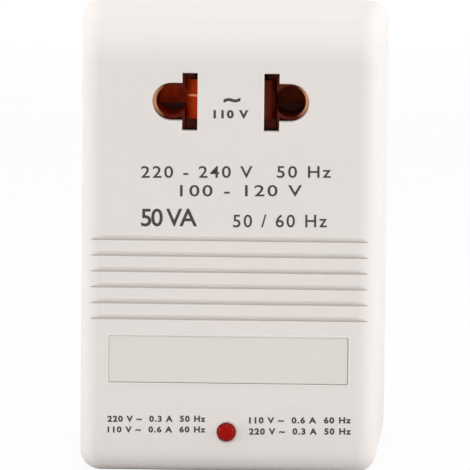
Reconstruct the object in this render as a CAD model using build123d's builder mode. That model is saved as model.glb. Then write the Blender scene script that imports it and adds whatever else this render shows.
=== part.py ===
"""Travel voltage converter: a small plug-through box with a universal socket on its front.

X is to the right, Y goes into the body from the front face, Z is up.
The origin is the middle of the bottom end, on which the box stands. Millimetres.
"""

import math
import os

from build123d import *

os.makedirs("parts", exist_ok=True)

# Housing
body_width = 47.4  # across the front
body_height = 72.8
body_depth = 42.0
side_draft = 2.4  # degrees by which each side wall opens towards the back
top_draft = 0.7  # the same for the top wall
wall = 2.0  # at the front
corner_round = 3.3  # the four long corners and the edges round the front face
cavity_corner = 1.3
cover_depth = 4.0  # depth of the rear cover's rim
cover_round = 1.6  # edges round the back face
parting_bevel = 0.3  # each half of the V groove between the shells
lip_height = 2.0
lip_wall = 1.2
fit_gap = 0.1  # between fixed pieces that locate each other
running_gap = 0.3  # between moving pieces and their surroundings
overrun = 1.0  # how far a cutting tool runs past a face

# Louvre grooves across the front
groove_count = 6
groove_pitch = 2.56
groove_width = 0.88
groove_depth = 0.6
groove_ledge = 0.06  # how far the ledge that ends a groove slopes back
groove_above_label = 3.0  # from the label recess to the lowest groove
groove_bulge_share = 0.62  # where half the depth is reached, as a share of the width

# Label recess and its plate
label_side_margin = 4.45
label_height = 7.6
label_centre_z = 18.4
label_recess = 0.45
label_corner = 0.3
plate_thickness = 0.35
plate_margin = 0.35

# Socket openings: a flat slot that runs into a half-round hole
socket_from_top = 12.8
slot_x = 6.55
slot_width = 2.46
slot_height = 9.3
round_x = 9.5
round_radius = 3.05
opening_bevel = 0.2

# Socket chambers and contacts
chamber_wall = 1.0
chamber_inner_x = 4.9  # inner side of a chamber, nearest the middle
chamber_outer_x = 13.3
chamber_inner_height = 10.8
wiring_room = 9.6  # between the chambers and the plug's keeper
contact_sheet = 0.5
sleeve_radius = 2.5  # holds a 4.8 mm round pin
shoulder_x = 7.4  # face that a flat blade rubs on
shoulder_height = 9.0
sleeve_length = 9.4
contact_set_back = 0.5  # from the inside of the front wall
leaf_height = 6.5
leaf_rise = 0.5  # the leaf sits a little above the middle
leaf_mouth_x = 5.5
leaf_grip_x = 6.35
leaf_root_x = 5.6
leaf_bend_shares = (0.26, 0.58)  # where the leaf grips and where it ends its slope
bridge_height = 4.0
tail_x = 9.0
tail_height = 3.0
tail_length = 4.6
tail_hole = 1.2

# Contact holder, the insulating plate that shuts the chambers
holder_thickness = 1.8
holder_overlap = 0.9  # reach past the chamber walls
holder_web = 4.4
holder_screw_pitch = 7.2

# Screws
small_screw_core = 1.8
small_screw_length = 7.0
small_head = 3.4
small_head_height = 1.2
shell_screw_core = 2.2
shell_screw_length = 12.0
shell_head = 4.4
shell_head_height = 1.6
drive_width = 0.6
drive_depth = 0.7
drive_share = 0.6  # length of the cross recess as a share of the head
pilot_extra = 1.0  # a pilot hole is this much deeper than its screw
thread_sides = 8  # threads, the holes for them, and hidden heads are plain prisms

# Bosses for the shell screws
boss_diameter = 5.4
boss_inset = 2.6  # boss axis from the inside of the walls
head_sink_clearance = 0.3
head_sink_depth = 2.2

# Lamp, its collar and its board
lamp_z = 6.7
lamp_radius = 1.5
lamp_flange_radius = 1.9
lamp_flange_height = 1.0
lamp_proud = 0.9  # height of the dome, which starts at the front face
lamp_collar_radius = 2.7
lamp_collar_length = 1.3
lamp_lead = 0.5
lamp_lead_pitch = 1.27
board_width = 14.8
board_height = 8.6
board_thickness = 1.2
board_bottom_z = 2.3
board_set_back = 4.8  # from the inside of the front wall
board_rail_width = 1.6
board_rail_depth = 3.6
board_rail_height = 6.0
board_rail_bite = 0.5
lead_stub = 0.7
resistor_length = 4.2
resistor_radius = 0.9
resistor_lead = 0.5
resistor_z = 9.2

# Transformer
core_side_room = 2.5  # between the core and the side walls
core_units = 6  # the stamped plates are six of their narrow legs wide
core_gap = 1.0  # between the core and the blade channels
core_room = 3.0  # between the upper flange and the blade channels
bobbin_wall = 1.0
flange_thickness = 1.0
flange_lip = 0.9  # reach past the core's window
inner_winding_share = 0.52  # share of the copper in the inner winding
winding_spare = 0.35
tape_thickness = 0.25
winding_round = 1.2
terminal_block_height = 2.0
terminal_block_depth = 5.6
terminal_count = 5
terminal_margin = 2.8  # from the last terminal to the end of the flange
terminal_pin = 0.8
terminal_set_back = 3.0
terminal_rise = 3.0
cradle_rib = 1.6  # thickness of the ribs that hold the core

# Thermal fuse on the core
fuse_radius = 1.7
fuse_length = 10.0
fuse_place_share = 0.4  # how far forward the fuse lies on the core
fuse_lead = 0.9
fuse_lead_length = 3.4

# Fold-out plug
plug_inset = 5.0  # pivot axis from the back face
drum_radius = 4.6
drum_half_length = 9.5
trunnion_radius = 1.5
trunnion_length = 1.9
blade_pitch = 12.7
blade_thickness = 1.5
blade_width = 6.35
blade_reach = 22.0  # from the pivot axis to the tip
blade_tip_bevel = 1.3
blade_hole = 3.2
blade_hole_from_tip = 5.2
heel_width = 4.0
heel_reach = 5.6
channel_gap = 0.6  # beside, below and under a folded blade
well_wall = 1.2
well_side_wall = 1.6
well_top_gap = 6.4  # room over the pivot axis for the swinging heels
well_bottom_gap = 5.4
window_top_gap = 4.9
well_reach = 6.4  # from the pivot axis to the keeper
scoop_half_width = 10.0
scoop_depth = 4.8
scoop_height = 9.4
scoop_above_tip = 3.4  # centre of the scoop above the folded blade tips

# Keeper that shuts the plug well
keeper_thickness = 1.4
keeper_lug = 4.6
keeper_lug_gap = 0.5
spring_width = 3.0
spring_sheet = 0.4
spring_half_height = 4.4
spring_tail = 4.0

# Selector slide switch in the left wall
selector_drop = 9.3  # its middle below the socket
selector_travel = 4.0
selector_width = 7.2
selector_height = 12.0
selector_depth = 6.4
selector_skin = 0.6
selector_base = 1.4
knob_width = 3.2
knob_height = 4.4
knob_set_back = 0.35
knob_grooves = 3
knob_groove = 0.5
slider_width = 5.2
slider_thickness = 1.6
dish_width = 6.6
dish_height = 12.0
dish_depth = 0.9
bridge_sheet = 0.5
selector_pin_rows = 2
selector_pin_count = 3
selector_pin_pitch_y = 3.0
selector_pin_width = 1.4
selector_pin_sheet = 0.5
selector_pin_length = 1.8
rail_thickness = 1.0
rail_reach = 4.2

# Insulated leads
lead_width = 1.1
lead_bend = 2.4
lead_clear = 0.3  # between a lead's end and its terminal

# Places worked out from the sizes
half_width = body_width / 2
front_y = -body_depth / 2
back_y = body_depth / 2
inner_front_y = front_y + wall
inner_back_y = back_y - wall
inner_half_width = half_width - wall
parting_y = back_y - cover_depth
centre_z = body_height / 2
back_width = body_width + 2 * (parting_y - front_y) * math.tan(math.radians(side_draft))
back_height = body_height + (parting_y - front_y) * math.tan(math.radians(top_draft))
boss_x = inner_half_width - boss_inset
boss_low_z = wall + boss_inset
boss_high_z = body_height - wall - boss_inset
boss_places = [(x, z) for x in (-boss_x, boss_x) for z in (boss_low_z, boss_high_z)]
label_width = body_width - 2 * label_side_margin
low_groove_z = label_centre_z + label_height / 2 + groove_above_label
socket_z = body_height - socket_from_top
plug_z = socket_z
plug_axis_y = back_y - plug_inset
blade_tip_z = plug_z - blade_reach
well_end_y = plug_axis_y - well_reach
keeper_back_y = well_end_y - keeper_thickness
chamber_end_y = keeper_back_y - wiring_room
holder_end_y = chamber_end_y + holder_thickness
channel_floor_y = plug_axis_y - blade_width / 2 - channel_gap
channel_low_z = blade_tip_z - channel_gap
board_y = inner_front_y + board_set_back
scoop_centre_z = blade_tip_z + scoop_above_tip

# Transformer core: legs, yokes and windows in the proportions of its laminations
core_half = inner_half_width - core_side_room
core_unit = 2 * core_half / core_units  # width of a side leg, a yoke and a window
core_centre_leg = 2 * core_unit
core_bottom_z = boss_low_z + boss_diameter / 2 + running_gap
core_back_y = channel_floor_y - well_wall - core_gap
window_low_z = core_bottom_z + core_unit
window_high_z = channel_low_z - well_wall - core_room
core_top_z = window_high_z + core_unit
window_reach = core_half - core_unit
flange_reach_y = core_back_y + core_unit + flange_lip
shelf_rib_x = 2 * core_unit
clamp_rib_x = core_half - core_unit / 2


def facing(y):
    """Plane seen from the front at depth y: its x is X, its y is Z, and extrusions come forward."""
    return Plane.XZ.offset(-y)


def slab(x, y, z, mode=Mode.ADD):
    """A block that spans the pairs x, y and z."""
    with Locations(((x[0] + x[1]) / 2, (y[0] + y[1]) / 2, (z[0] + z[1]) / 2)):
        Box(x[1] - x[0], y[1] - y[0], z[1] - z[0], mode=mode)


def about(middle, size):
    """The pair of ends of a span of the given size round a middle."""
    return (middle - size / 2, middle + size / 2)


def mirrored(side, near, far):
    """The pair near and far from the middle plane, on the left (-1) or the right (1)."""
    return tuple(sorted((side * near, side * far)))


def bar(start, end, radius, mode=Mode.ADD):
    """A round bar from start to end, both points on its axis."""
    run = Vector(*end) - Vector(*start)
    with BuildSketch(Plane(origin=start, z_dir=run)) as end_face:
        Circle(radius)
    extrude(end_face.sketch, amount=run.length, mode=mode)


def thread(start, end, radius, mode=Mode.ADD):
    """A screw's core, or the hole for it, from start to end, without its thread."""
    run = Vector(*end) - Vector(*start)
    with BuildSketch(Plane(origin=start, x_dir=(1, 0, 0), z_dir=run)) as end_face:
        RegularPolygon(radius, thread_sides)
    extrude(end_face.sketch, amount=run.length, mode=mode)


def keep(piece, name):
    """Labels a finished piece and writes it as its own file."""
    piece.part.label = name
    export_step(piece.part, f"parts/{name}.step")


# Front housing: cavity first, as its own solid
with BuildPart() as cavity:
    with BuildSketch(facing(parting_y + overrun)):
        with Locations((0, centre_z)):
            RectangleRounded(body_width - 2 * wall, body_height - 2 * wall, cavity_corner)
    extrude(amount=parting_y + overrun - inner_front_y)
    chamfer(cavity.faces().sort_by(Axis.Y)[0].edges(), (corner_round - wall) / 2)

# Slotted rails for the lamp board
with BuildPart() as board_rails:
    for side in (-1, 1):
        slab(
            mirrored(side, board_width / 2 - board_rail_bite, board_width / 2 + board_rail_width),
            about(board_y + board_thickness / 2, board_rail_depth),
            (wall, wall + board_rail_height),
        )
    slab(
        about(0, board_width + 2 * fit_gap),
        (board_y - fit_gap, board_y + board_thickness + fit_gap),
        (board_bottom_z - fit_gap, wall + board_rail_height + overrun),
        mode=Mode.SUBTRACT,
    )

chamber_height = chamber_inner_height + 2 * chamber_wall
chamber_mid_x = (chamber_inner_x + chamber_outer_x) / 2
chamber_width = chamber_outer_x - chamber_inner_x + 2 * chamber_wall
holder_screw_places = [(0, z) for z in about(socket_z, holder_screw_pitch)]
selector_face_x = -inner_half_width  # the switch case lies against the inside of the left wall
selector_inner_x = selector_face_x + selector_depth
selector_y = holder_end_y + running_gap + selector_width / 2
selector_z = socket_z - selector_drop
# Outside of the left wall where the selector is
selector_wall_x = -half_width - (selector_y - front_y) * math.tan(math.radians(side_draft))

with BuildPart() as front_housing:
    # Plan and side view of the drafted walls
    with BuildSketch():
        with BuildLine():
            Polyline(
                (-half_width, front_y),
                (half_width, front_y),
                (back_width / 2, parting_y),
                (-back_width / 2, parting_y),
                close=True,
            )
        make_face()
    extrude(amount=back_height)
    with BuildSketch(Plane.YZ.offset(-back_width / 2)):
        with BuildLine():
            Polyline(
                (front_y, 0), (parting_y, 0), (parting_y, back_height), (front_y, body_height), close=True
            )
        make_face()
    extrude(amount=back_width, mode=Mode.INTERSECT)
    fillet(front_housing.edges() - front_housing.faces().sort_by(Axis.Y)[-1].edges(), corner_round)
    chamfer(front_housing.faces().sort_by(Axis.Y)[-1].edges(), parting_bevel)
    add(cavity.part, mode=Mode.SUBTRACT)
    # Universal socket openings
    with BuildSketch(facing(inner_front_y + overrun)):
        for side in (-1, 1):
            with Locations((side * slot_x, socket_z)):
                Rectangle(slot_width, slot_height)
            with Locations((side * round_x, socket_z)):
                Circle(round_radius)
            with Locations((side * (slot_x + round_x) / 2, socket_z)):
                Rectangle(round_x - slot_x, 2 * round_radius)
    extrude(amount=wall + 2 * overrun, mode=Mode.SUBTRACT)
    # Collar and hole for the lamp
    bar((0, inner_front_y + lamp_collar_length, lamp_z), (0, inner_front_y, lamp_z), lamp_collar_radius)
    bar(
        (0, inner_front_y + lamp_collar_length + overrun, lamp_z),
        (0, front_y - overrun, lamp_z),
        lamp_radius + fit_gap,
        mode=Mode.SUBTRACT,
    )
    front_face = front_housing.faces().filter_by(Plane.XZ).sort_by(Axis.Y)[0]
    chamfer([edge for wire in front_face.inner_wires() for edge in wire.edges()], opening_bevel)
    # Label recess
    with BuildSketch(facing(front_y + label_recess)):
        with Locations((0, label_centre_z)):
            RectangleRounded(label_width, label_height, label_corner)
    extrude(amount=label_recess + overrun, mode=Mode.SUBTRACT)
    # Louvre grooves: a curved slope that ends on a short ledge
    with BuildSketch(Plane.YZ.offset(-half_width - overrun)):
        for count in range(groove_count):
            top = low_groove_z + count * groove_pitch + groove_width / 2
            low = top - groove_width
            with BuildLine():
                ThreePointArc(
                    (front_y, top),
                    (front_y + groove_depth / 2, top - groove_width * groove_bulge_share),
                    (front_y + groove_depth, low + groove_ledge),
                )
                Polyline(
                    (front_y + groove_depth, low + groove_ledge),
                    (front_y, low),
                    (front_y - overrun, low),
                    (front_y - overrun, top),
                    (front_y, top),
                )
            make_face()
    extrude(amount=body_width + 2 * overrun, mode=Mode.SUBTRACT)
    # Chambers that hold the socket contacts
    with BuildSketch(facing(chamber_end_y)):
        for side in (-1, 1):
            with Locations((side * chamber_mid_x, socket_z)):
                Rectangle(chamber_width, chamber_height)
                Rectangle(chamber_width - 2 * chamber_wall, chamber_inner_height, mode=Mode.SUBTRACT)
    extrude(amount=chamber_end_y - inner_front_y)
    # Web between the chambers, with the pilot holes of the holder screws
    slab(about(0, holder_web), (inner_front_y, chamber_end_y), about(socket_z, chamber_height))
    for x, z in holder_screw_places:
        thread(
            (x, chamber_end_y, z),
            (x, holder_end_y - small_screw_length - pilot_extra, z),
            small_screw_core / 2,
            Mode.SUBTRACT,
        )
    # Bosses for the shell screws
    for x, z in boss_places:
        bar((x, parting_y, z), (x, inner_front_y, z), boss_diameter / 2)
        thread(
            (x, parting_y, z),
            (x, back_y - head_sink_depth - shell_screw_length - pilot_extra, z),
            shell_screw_core / 2,
            Mode.SUBTRACT,
        )
    # Ribs that carry the transformer core from below and in front
    for side in (-1, 1):
        slab(
            about(side * shelf_rib_x, cradle_rib),
            (inner_front_y, core_back_y),
            (wall, core_bottom_z - fit_gap),
        )
        slab(
            about(side * clamp_rib_x, cradle_rib),
            (inner_front_y, -core_back_y - fit_gap),
            (core_bottom_z, core_top_z),
        )
    add(board_rails.part)
    # Rails, stop and window for the selector switch
    for side in (-1, 1):
        edge = selector_z + side * (selector_height / 2 + fit_gap)
        slab(
            (-inner_half_width, -inner_half_width + rail_reach),
            about(selector_y, selector_width),
            tuple(sorted((edge, edge + side * rail_thickness))),
        )
    slab(
        (-inner_half_width, -inner_half_width + rail_reach),
        (
            selector_y - selector_width / 2 - fit_gap - rail_thickness,
            selector_y - selector_width / 2 - fit_gap,
        ),
        about(selector_z, selector_height),
    )
    slab(
        (selector_wall_x - overrun, selector_wall_x + dish_depth),
        about(selector_y, dish_width),
        about(selector_z, dish_height),
        mode=Mode.SUBTRACT,
    )
    slab(
        (selector_wall_x, -inner_half_width),
        about(selector_y, knob_width + 2 * running_gap),
        about(selector_z, knob_height + selector_travel + 2 * running_gap),
        mode=Mode.SUBTRACT,
    )
keep(front_housing, "front_housing")

# Label plate: sits in its recess, a little up and to the left
with BuildPart() as label_plate:
    with BuildSketch(facing(front_y + label_recess)):
        with Locations((-plate_margin / 2, label_centre_z + plate_margin / 2)):
            RectangleRounded(
                label_width - 2 * plate_margin, label_height - 2 * plate_margin, label_corner
            )
    extrude(amount=plate_thickness)
keep(label_plate, "label_plate")

# Rear cover with the plug well, blade channels and finger scoop
well_half_width = drum_half_length + running_gap
well_low_z = plug_z - well_bottom_gap
well_high_z = plug_z + well_top_gap
keeper_lug_x = well_half_width + well_side_wall + keeper_lug_gap + keeper_lug / 2
channel_half_width = blade_thickness / 2 + channel_gap
notch_half_width = trunnion_radius + fit_gap
scoop_floor_y = back_y - scoop_depth
scoop_x = (-scoop_half_width, scoop_half_width)


def scoop_outline(grow):
    """Finger scoop seen from the side, grown outwards by the given wall."""
    low, high = about(scoop_centre_z, scoop_height + 2 * grow)
    with BuildLine() as outline:
        ThreePointArc((back_y, low), (scoop_floor_y - grow, scoop_centre_z), (back_y, high))
        Line((back_y, high), (back_y, low))
    make_face(outline.edges())


with BuildPart() as rear_cover:
    with BuildSketch(facing(back_y)):
        with Locations((0, back_height / 2)):
            RectangleRounded(back_width, back_height, corner_round)
    extrude(amount=cover_depth)
    chamfer(rear_cover.faces().sort_by(Axis.Y)[0].edges(), parting_bevel)
    fillet(rear_cover.faces().sort_by(Axis.Y)[-1].edges(), cover_round)
    # Locating lip, then the hollow inside lip and rim
    lip_width = body_width - 2 * wall - 2 * fit_gap
    lip_high = body_height - 2 * wall - 2 * fit_gap
    with BuildSketch(facing(parting_y)):
        with Locations((0, centre_z)):
            RectangleRounded(lip_width, lip_high, cavity_corner)
    extrude(amount=lip_height)
    with BuildSketch(facing(inner_back_y)):
        with Locations((0, centre_z)):
            Rectangle(lip_width - 2 * lip_wall, lip_high - 2 * lip_wall)
    extrude(amount=inner_back_y - parting_y + lip_height, mode=Mode.SUBTRACT)
    # Clearance in the lip for the bosses of the front housing
    with BuildSketch(facing(parting_y)):
        with Locations(*boss_places):
            Circle(boss_diameter / 2 + running_gap)
    extrude(amount=lip_height + overrun, mode=Mode.SUBTRACT)
    # Pads over the bosses
    with BuildSketch(facing(inner_back_y)):
        with Locations(*boss_places):
            Circle(boss_diameter / 2)
    extrude(amount=inner_back_y - parting_y)
    # Plug well, channels and scoop, outer forms first
    slab(
        about(0, 2 * (well_half_width + well_side_wall)),
        (well_end_y, inner_back_y),
        (well_low_z - well_wall, well_high_z + well_wall),
    )
    for side in (-1, 1):
        slab(
            about(side * blade_pitch / 2, 2 * (channel_half_width + well_wall)),
            (channel_floor_y - well_wall, inner_back_y),
            (channel_low_z - well_wall, well_low_z),
        )
    with BuildSketch(Plane.YZ.offset(scoop_x[0] - well_wall)):
        scoop_outline(well_wall)
    extrude(amount=2 * (scoop_half_width + well_wall))
    # Then their hollows
    slab(about(0, 2 * well_half_width), (well_end_y, inner_back_y), (well_low_z, well_high_z), Mode.SUBTRACT)
    slab(
        about(0, 2 * well_half_width),
        (inner_back_y - overrun, back_y + overrun),
        (well_low_z, plug_z + window_top_gap),
        Mode.SUBTRACT,
    )
    for side in (-1, 1):
        slab(
            about(side * blade_pitch / 2, 2 * channel_half_width),
            (channel_floor_y, back_y + overrun),
            (channel_low_z, well_low_z + overrun),
            Mode.SUBTRACT,
        )
    with BuildSketch(Plane.YZ.offset(scoop_x[0])):
        scoop_outline(0)
    extrude(amount=2 * scoop_half_width, mode=Mode.SUBTRACT)
    # Open notches for the trunnions, in the side walls of the well
    for side in (-1, 1):
        notch_x = mirrored(side, well_half_width, well_half_width + well_side_wall)
        slab(notch_x, (well_end_y, plug_axis_y), about(plug_z, 2 * notch_half_width), Mode.SUBTRACT)
        bar(
            (notch_x[0], plug_axis_y, plug_z),
            (notch_x[1], plug_axis_y, plug_z),
            notch_half_width,
            mode=Mode.SUBTRACT,
        )
        # Posts for the keeper screws
        post_x = side * keeper_lug_x
        bar((post_x, inner_back_y, plug_z), (post_x, well_end_y, plug_z), keeper_lug / 2)
        thread(
            (post_x, well_end_y, plug_z),
            (post_x, well_end_y + small_screw_length - keeper_thickness + pilot_extra, plug_z),
            small_screw_core / 2,
            Mode.SUBTRACT,
        )
        # Ribs that press on the back of the core
        slab(
            about(side * clamp_rib_x, cradle_rib),
            (core_back_y + fit_gap, inner_back_y),
            (core_bottom_z, core_top_z),
        )
    # Post that holds the selector switch in its rails
    slab(
        about((selector_face_x + selector_inner_x) / 2, cradle_rib),
        (selector_y + selector_width / 2 + fit_gap, inner_back_y),
        about(selector_z, selector_height / 2),
    )
    # Sunk holes for the shell screws
    for x, z in boss_places:
        thread((x, parting_y - overrun, z), (x, back_y, z), shell_screw_core / 2 + fit_gap, Mode.SUBTRACT)
        bar(
            (x, back_y - head_sink_depth, z),
            (x, back_y + overrun, z),
            shell_head / 2 + head_sink_clearance,
            Mode.SUBTRACT,
        )
keep(rear_cover, "rear_cover")


def screw(way, core, length, head, head_height, shape):
    """A cross-head screw with its head's seat at the origin and its shank along Y, way 1 or -1."""
    with BuildPart() as made:
        thread((0, 0, 0), (0, way * length, 0), core / 2)
        shape((0, 0, 0), (0, -way * head_height, 0), head / 2)
        with Locations((0, -way * (head_height - drive_depth / 2), 0)):
            Box(head * drive_share, drive_depth, drive_width, mode=Mode.SUBTRACT)
            Box(drive_width, drive_depth, head * drive_share, mode=Mode.SUBTRACT)
    return made.part


def screw_set(made, places, name):
    """Copies of one screw, kept as one set."""
    with BuildPart() as screws:
        with Locations(*places):
            add(made)
    keep(screws, name)


shell_seat_y = back_y - head_sink_depth
screw_set(
    screw(-1, shell_screw_core, shell_screw_length, shell_head, shell_head_height, bar),
    [(x, shell_seat_y, z) for x, z in boss_places],
    "shell_screws",
)

# Socket contacts: a sleeve with two shoulders, and a sprung leaf, on one bridge
sleeve_front_y = inner_front_y + contact_set_back
bridge_y = chamber_end_y - contact_sheet
leaf_grip_y, leaf_root_y = (
    sleeve_front_y + share * (chamber_end_y - sleeve_front_y) for share in leaf_bend_shares
)


def socket_contact(side):
    """Left (-1) or right (1) contact, one bent strip."""
    outer_radius = sleeve_radius + contact_sheet
    with BuildPart() as made:
        with BuildSketch(facing(sleeve_front_y + sleeve_length)):
            with Locations((side * round_x, socket_z)):
                Circle(outer_radius)
            shoulder = mirrored(side, shoulder_x, shoulder_x + contact_sheet)
            with Locations((sum(shoulder) / 2, socket_z)):
                Rectangle(contact_sheet, shoulder_height)
            inner_half = mirrored(side, 0, shoulder_x)
            with Locations((sum(inner_half) / 2, socket_z)):
                Rectangle(shoulder_x, shoulder_height, mode=Mode.SUBTRACT)
            with Locations((side * round_x, socket_z)):
                Circle(sleeve_radius, mode=Mode.SUBTRACT)
        extrude(amount=sleeve_length)
        # Strip from the sleeve to the bridge, the bridge and the solder tail
        slab(
            mirrored(side, round_x + sleeve_radius, round_x + outer_radius),
            (sleeve_front_y, chamber_end_y),
            about(socket_z, bridge_height / 2),
        )
        slab(
            mirrored(side, leaf_root_x - contact_sheet, round_x + outer_radius),
            (bridge_y, chamber_end_y),
            about(socket_z, bridge_height),
        )
        slab(
            about(side * tail_x, contact_sheet),
            (bridge_y, chamber_end_y + tail_length),
            about(socket_z, tail_height),
        )
        bar(
            (side * (tail_x - contact_sheet), chamber_end_y + tail_length - tail_hole, socket_z),
            (side * (tail_x + contact_sheet), chamber_end_y + tail_length - tail_hole, socket_z),
            tail_hole / 2,
            mode=Mode.SUBTRACT,
        )
        # Sprung leaf, seen from above
        points = [
            (leaf_mouth_x, sleeve_front_y),
            (leaf_grip_x, leaf_grip_y),
            (leaf_root_x, leaf_root_y),
            (leaf_root_x, chamber_end_y),
        ]
        back = [(x - contact_sheet, y) for x, y in reversed(points)]
        leaf_low = socket_z + leaf_rise - leaf_height / 2
        with BuildSketch(Plane.XY.offset(leaf_low)):
            with BuildLine():
                Polyline(*[(side * x, y) for x, y in points + back], close=True)
            make_face()
        extrude(amount=leaf_height)
    return made


keep(socket_contact(-1), "socket_contact_left")
keep(socket_contact(1), "socket_contact_right")

# Contact holder: shuts the chambers and guides the solder tails
with BuildPart() as contact_holder:
    slab(
        about(0, 2 * (chamber_mid_x + chamber_width / 2 - holder_overlap + fit_gap)),
        (chamber_end_y, holder_end_y),
        about(socket_z, chamber_height),
    )
    for side in (-1, 1):
        slab(
            about(side * tail_x, contact_sheet + 2 * fit_gap),
            (chamber_end_y, holder_end_y),
            about(socket_z, tail_height + 2 * fit_gap),
            Mode.SUBTRACT,
        )
    for x, z in holder_screw_places:
        thread((x, chamber_end_y, z), (x, holder_end_y, z), small_screw_core / 2 + fit_gap, Mode.SUBTRACT)
keep(contact_holder, "contact_holder")

screw_set(
    screw(-1, small_screw_core, small_screw_length, small_head, small_head_height, thread),
    [(x, holder_end_y, z) for x, z in holder_screw_places],
    "holder_screws",
)

# Lamp: domed body with a flange, and its two leads
lamp_flange_y = inner_front_y + lamp_collar_length
board_back_y = board_y + board_thickness
dome_radius = (lamp_radius**2 + lamp_proud**2) / (2 * lamp_proud)
with BuildPart() as lamp_lens:
    with BuildSketch(Plane.YZ):
        with BuildLine():
            Polyline(
                (front_y, lamp_z + lamp_radius),
                (lamp_flange_y, lamp_z + lamp_radius),
                (lamp_flange_y, lamp_z + lamp_flange_radius),
                (lamp_flange_y + lamp_flange_height, lamp_z + lamp_flange_radius),
                (lamp_flange_y + lamp_flange_height, lamp_z),
                (front_y - lamp_proud, lamp_z),
            )
            RadiusArc(
                (front_y - lamp_proud, lamp_z),
                (front_y, lamp_z + lamp_radius),
                dome_radius,
            )
        make_face()
    revolve(axis=Axis((0, 0, lamp_z), (0, 1, 0)))
keep(lamp_lens, "lamp_lens")

with BuildPart() as lamp_leads:
    for side in (-1, 1):
        x = side * lamp_lead_pitch
        slab(
            about(x, lamp_lead),
            (lamp_flange_y + lamp_flange_height, board_back_y + lead_stub),
            about(lamp_z, lamp_lead),
        )
keep(lamp_leads, "lamp_leads")

resistor_y = board_back_y + resistor_radius
resistor_lead_x = resistor_length / 2 + resistor_radius
with BuildPart() as lamp_board:
    slab(
        about(0, board_width),
        (board_y, board_back_y),
        (board_bottom_z, board_bottom_z + board_height),
    )
    for side in (-1, 1):
        slab(
            about(side * lamp_lead_pitch, lamp_lead),
            (board_y, board_back_y),
            about(lamp_z, lamp_lead),
            Mode.SUBTRACT,
        )
        slab(
            about(side * resistor_lead_x, resistor_lead),
            (board_y, board_back_y),
            about(resistor_z, resistor_lead),
            Mode.SUBTRACT,
        )
keep(lamp_board, "lamp_board")

with BuildPart() as lamp_resistor:
    slab(
        about(0, 2 * resistor_lead_x + resistor_lead),
        about(resistor_y, resistor_lead),
        about(resistor_z, resistor_lead),
    )
    for side in (-1, 1):
        slab(
            about(side * resistor_lead_x, resistor_lead),
            (board_y - lead_stub, resistor_y),
            about(resistor_z, resistor_lead),
        )
    bar(
        (-resistor_length / 2, resistor_y, resistor_z),
        (resistor_length / 2, resistor_y, resistor_z),
        resistor_radius,
    )
keep(lamp_resistor, "lamp_resistor")

# Transformer core: E stack below, I stack on top
core_x = (-core_half, core_half)
core_y = (-core_back_y, core_back_y)
with BuildPart() as core_e_stack:
    slab(core_x, core_y, (core_bottom_z, window_low_z))
    slab(about(0, core_centre_leg), core_y, (window_low_z, window_high_z))
    for side in (-1, 1):
        slab(mirrored(side, window_reach, core_half), core_y, (window_low_z, window_high_z))
keep(core_e_stack, "core_e_stack")

with BuildPart() as core_i_stack:
    slab(core_x, core_y, (window_high_z, core_top_z))
keep(core_i_stack, "core_i_stack")

# Bobbin, windings and tape, nested round the centre leg
tube_x = core_centre_leg + 2 * fit_gap
tube_y = 2 * (core_back_y + fit_gap)
spool_x = tube_x + 2 * bobbin_wall
spool_y = tube_y + 2 * bobbin_wall
winding_low_z = window_low_z + flange_thickness
winding_high_z = window_high_z - flange_thickness
copper_depth = core_unit - fit_gap - bobbin_wall - tape_thickness - winding_spare
inner_winding_depth = inner_winding_share * copper_depth
terminal_y = -flange_reach_y + terminal_set_back
terminal_pitch = 2 * (window_reach - terminal_margin) / (terminal_count - 1)
terminals_x = [
    (number - (terminal_count - 1) / 2) * terminal_pitch for number in range(terminal_count)
]
block_top_z = window_high_z + terminal_block_height

with BuildPart() as bobbin:
    slab(about(0, spool_x), about(0, spool_y), (window_low_z, window_high_z))
    for low in (window_low_z, window_high_z - flange_thickness):
        slab(
            about(0, 2 * (window_reach - fit_gap)),
            about(0, 2 * flange_reach_y),
            (low, low + flange_thickness),
        )
    # Terminal block on the front of the upper flange
    slab(
        about(0, 2 * (window_reach - fit_gap)),
        (-flange_reach_y, -flange_reach_y + terminal_block_depth),
        (window_high_z - flange_thickness, block_top_z),
    )
    slab(about(0, tube_x), about(0, tube_y), (window_low_z, window_high_z), Mode.SUBTRACT)
    for x in terminals_x:
        slab(
            about(x, terminal_pin),
            about(terminal_y, terminal_pin),
            (winding_high_z, block_top_z),
            Mode.SUBTRACT,
        )
keep(bobbin, "bobbin")


def wound_layer(inside, depth, name):
    """A layer wound on the bobbin: inside is how far its inner face is from the spool."""
    with BuildPart() as layer:
        with BuildSketch(Plane.XY.offset(winding_low_z)):
            reach = inside + depth
            RectangleRounded(spool_x + 2 * reach, spool_y + 2 * reach, winding_round)
            if inside:
                RectangleRounded(
                    spool_x + 2 * inside, spool_y + 2 * inside, winding_round, mode=Mode.SUBTRACT
                )
            else:
                Rectangle(spool_x, spool_y, mode=Mode.SUBTRACT)
        extrude(amount=winding_high_z - winding_low_z)
    keep(layer, name)


wound_layer(0, inner_winding_depth, "inner_winding")
wound_layer(inner_winding_depth, copper_depth - inner_winding_depth, "outer_winding")
wound_layer(copper_depth, tape_thickness, "winding_tape")

terminal_top_z = block_top_z + terminal_rise
with BuildPart() as terminal_pins:
    for x in terminals_x:
        slab(about(x, terminal_pin), about(terminal_y, terminal_pin), (winding_high_z, terminal_top_z))
keep(terminal_pins, "terminal_pins")

# Thermal fuse, lying on the I stack
fuse_y = -core_back_y * fuse_place_share
fuse_z = core_top_z + fuse_radius
with BuildPart() as thermal_fuse:
    bar((-fuse_length / 2, fuse_y, fuse_z), (fuse_length / 2, fuse_y, fuse_z), fuse_radius)
    fuse_end_x = fuse_length / 2 + fuse_lead_length
    slab((-fuse_end_x, fuse_end_x), about(fuse_y, fuse_lead), about(fuse_z, fuse_lead))
keep(thermal_fuse, "thermal_fuse")

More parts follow.
